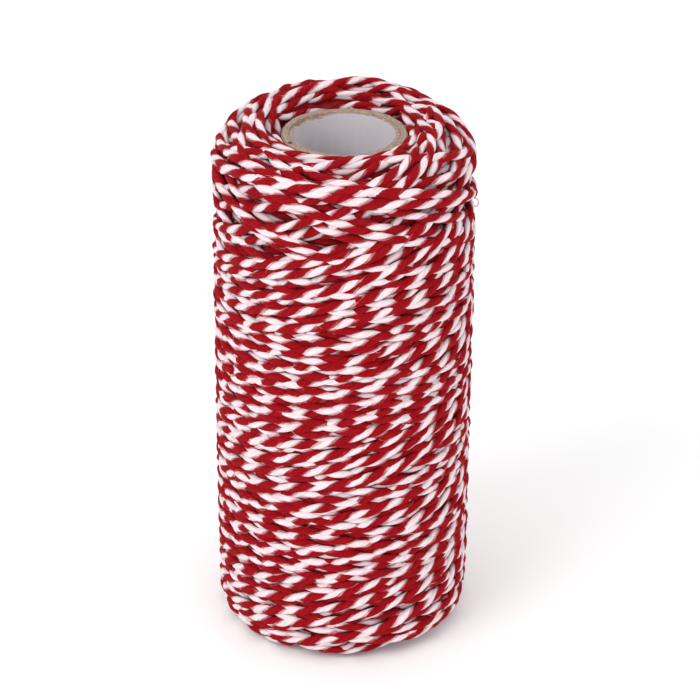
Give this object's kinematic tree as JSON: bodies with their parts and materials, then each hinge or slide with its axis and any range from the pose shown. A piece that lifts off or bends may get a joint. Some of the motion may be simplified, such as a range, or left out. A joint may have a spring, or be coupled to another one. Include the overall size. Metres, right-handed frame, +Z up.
{
  "type": "spool of bakers twine",
  "caption": "Upright spool of red and white two-ply cotton twine, cross-wound with rounded shoulders on an open cardboard tube.",
  "frame": {"origin": "on the tube's axis, at the flat base of the winding", "axes": "+Z up along the tube, -Y towards the front"},
  "size_m": [0.052, 0.052, 0.1115],
  "materials": {
    "twine": "soft matte cotton yarn, one crimson ply twisted with one white ply",
    "cardboard": "raw grey-brown rolled cardboard, slightly fibrous at the rim",
    "paper_liner": "matte white paper ply, torn along its top edge"
  },
  "bodies": {
    "root": {"twine_winding": "twine", "core_tube": "cardboard", "tube_liner": "paper_liner"}
  },
  "joints": []
}
